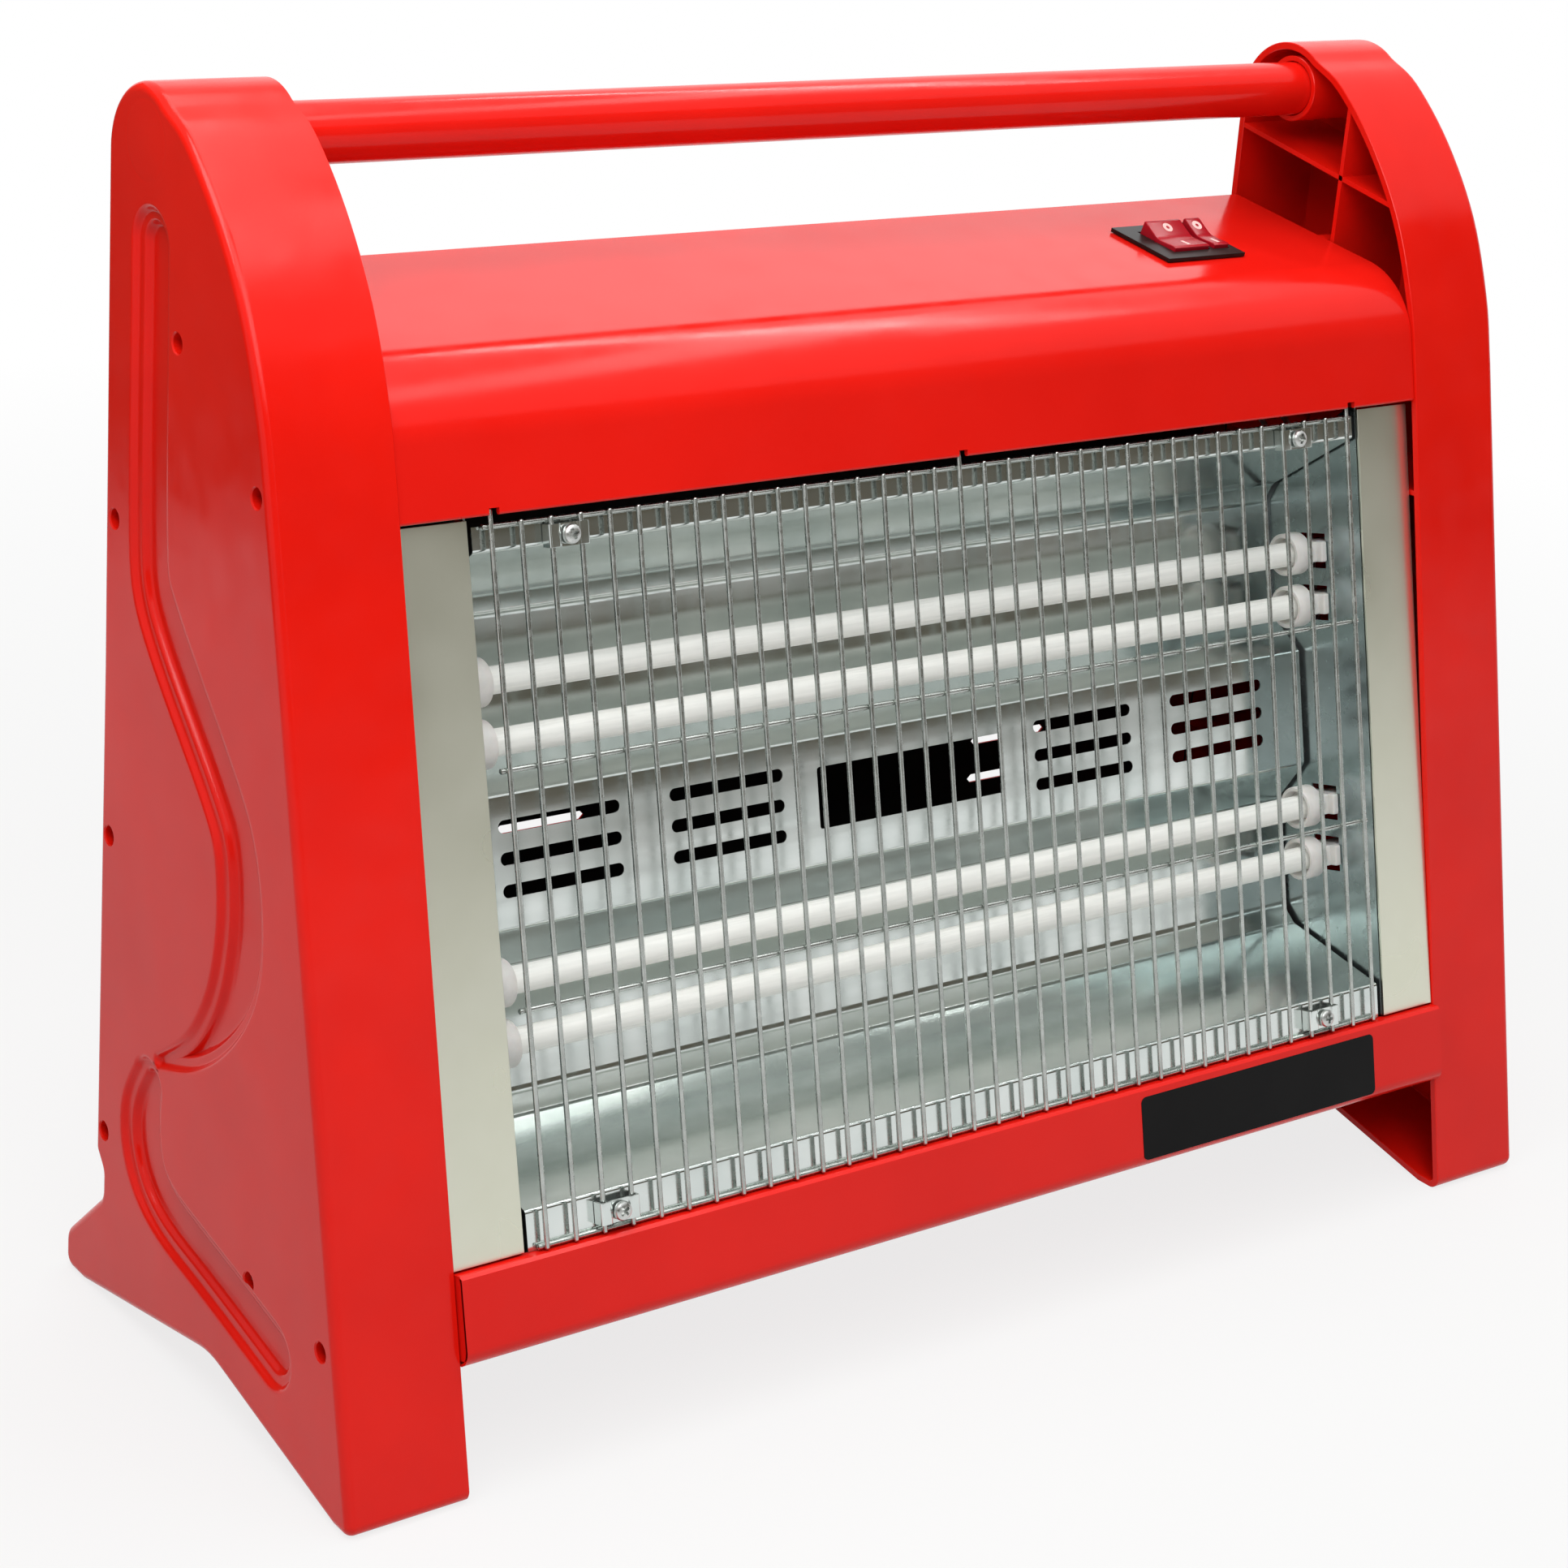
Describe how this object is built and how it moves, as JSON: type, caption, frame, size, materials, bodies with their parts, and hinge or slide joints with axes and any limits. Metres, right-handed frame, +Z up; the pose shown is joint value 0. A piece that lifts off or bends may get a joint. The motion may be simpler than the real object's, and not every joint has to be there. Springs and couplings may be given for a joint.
{
  "type": "electric heater",
  "caption": "Portable radiant heater: red side panels with a groove, sheet cover, wire grille over quartz tubes, tube handle and rocker switches.",
  "frame": {"origin": "on the floor, under the middle of the bounding box", "axes": "+X along the heater to its right-hand end as seen from the front, +Y to the back, +Z up"},
  "size_m": [0.577, 0.2162, 0.4589],
  "materials": {
    "moulded_red_plastic": "glossy moulding",
    "red_enamel_on_steel": "gloss enamel on folded sheet or tube",
    "cream_enamel_on_steel": "satin enamel on sheet",
    "galvanised_sheet": "bright galvanised sheet",
    "plated_wire": "plated, spot welded",
    "zinc_screw": "zinc plated",
    "milky_quartz": "milky, satin",
    "resistance_wire": "dull alloy wire",
    "white_ceramic": "glazed",
    "brass_strip": "bare strip",
    "black_plastic": "fine texture",
    "clear_red_plastic": "clear dark red",
    "silicone_sleeve": "matt sleeve"
  },
  "bodies": {
    "heater": {"left_side_panel": "moulded_red_plastic", "right_side_panel": "moulded_red_plastic", "handle_tube": "red_enamel_on_steel", "top_cover": "red_enamel_on_steel", "back_cover": "red_enamel_on_steel", "base_pan": "red_enamel_on_steel", "left_strip": "cream_enamel_on_steel", "right_strip": "cream_enamel_on_steel", "reflector": "galvanised_sheet", "left_cheek": "galvanised_sheet", "right_cheek": "galvanised_sheet", "grille_clip_1": "galvanised_sheet", "grille_clip_2": "galvanised_sheet", "grille_clip_3": "galvanised_sheet", "grille_clip_4": "galvanised_sheet", "grille": "plated_wire", "clip_screw_1": "zinc_screw", "clip_screw_2": "zinc_screw", "clip_screw_3": "zinc_screw", "clip_screw_4": "zinc_screw", "left_panel_screw_1": "zinc_screw", "left_panel_screw_2": "zinc_screw", "left_panel_screw_3": "zinc_screw", "left_panel_screw_4": "zinc_screw", "left_panel_screw_5": "zinc_screw", "left_panel_screw_6": "zinc_screw", "left_panel_screw_7": "zinc_screw", "right_panel_screw_1": "zinc_screw", "right_panel_screw_2": "zinc_screw", "right_panel_screw_3": "zinc_screw", "right_panel_screw_4": "zinc_screw", "right_panel_screw_5": "zinc_screw", "right_panel_screw_6": "zinc_screw", "right_panel_screw_7": "zinc_screw", "quartz_tube_1": "milky_quartz", "quartz_tube_2": "milky_quartz", "quartz_tube_3": "milky_quartz", "quartz_tube_4": "milky_quartz", "heating_coil_1": "resistance_wire", "heating_coil_2": "resistance_wire", "heating_coil_3": "resistance_wire", "heating_coil_4": "resistance_wire", "left_holder_1": "white_ceramic", "left_holder_2": "white_ceramic", "left_holder_3": "white_ceramic", "left_holder_4": "white_ceramic", "right_holder_1": "white_ceramic", "right_holder_2": "white_ceramic", "right_holder_3": "white_ceramic", "right_holder_4": "white_ceramic", "left_bus_bar": "brass_strip", "upper_bus_bar": "brass_strip", "lower_bus_bar": "brass_strip", "switch_housing": "black_plastic", "cord_bushing": "black_plastic", "upper_lead": "silicone_sleeve", "lower_lead": "silicone_sleeve"},
    "wide_rocker": {"wide_rocker": "clear_red_plastic"},
    "narrow_rocker": {"narrow_rocker": "clear_red_plastic"}
  },
  "joints": [
    {"name": "wide_rocker_tilt", "type": "hinge", "parent": "heater", "child": "wide_rocker", "pos_m": [0.159, 0.03401, 0.38402], "axis": [1, 0, 0], "range_deg": [-22, 0]},
    {"name": "narrow_rocker_tilt", "type": "hinge", "parent": "heater", "child": "narrow_rocker", "pos_m": [0.1753, 0.03401, 0.38402], "axis": [1, 0, 0], "range_deg": [-22, 0]}
  ]
}
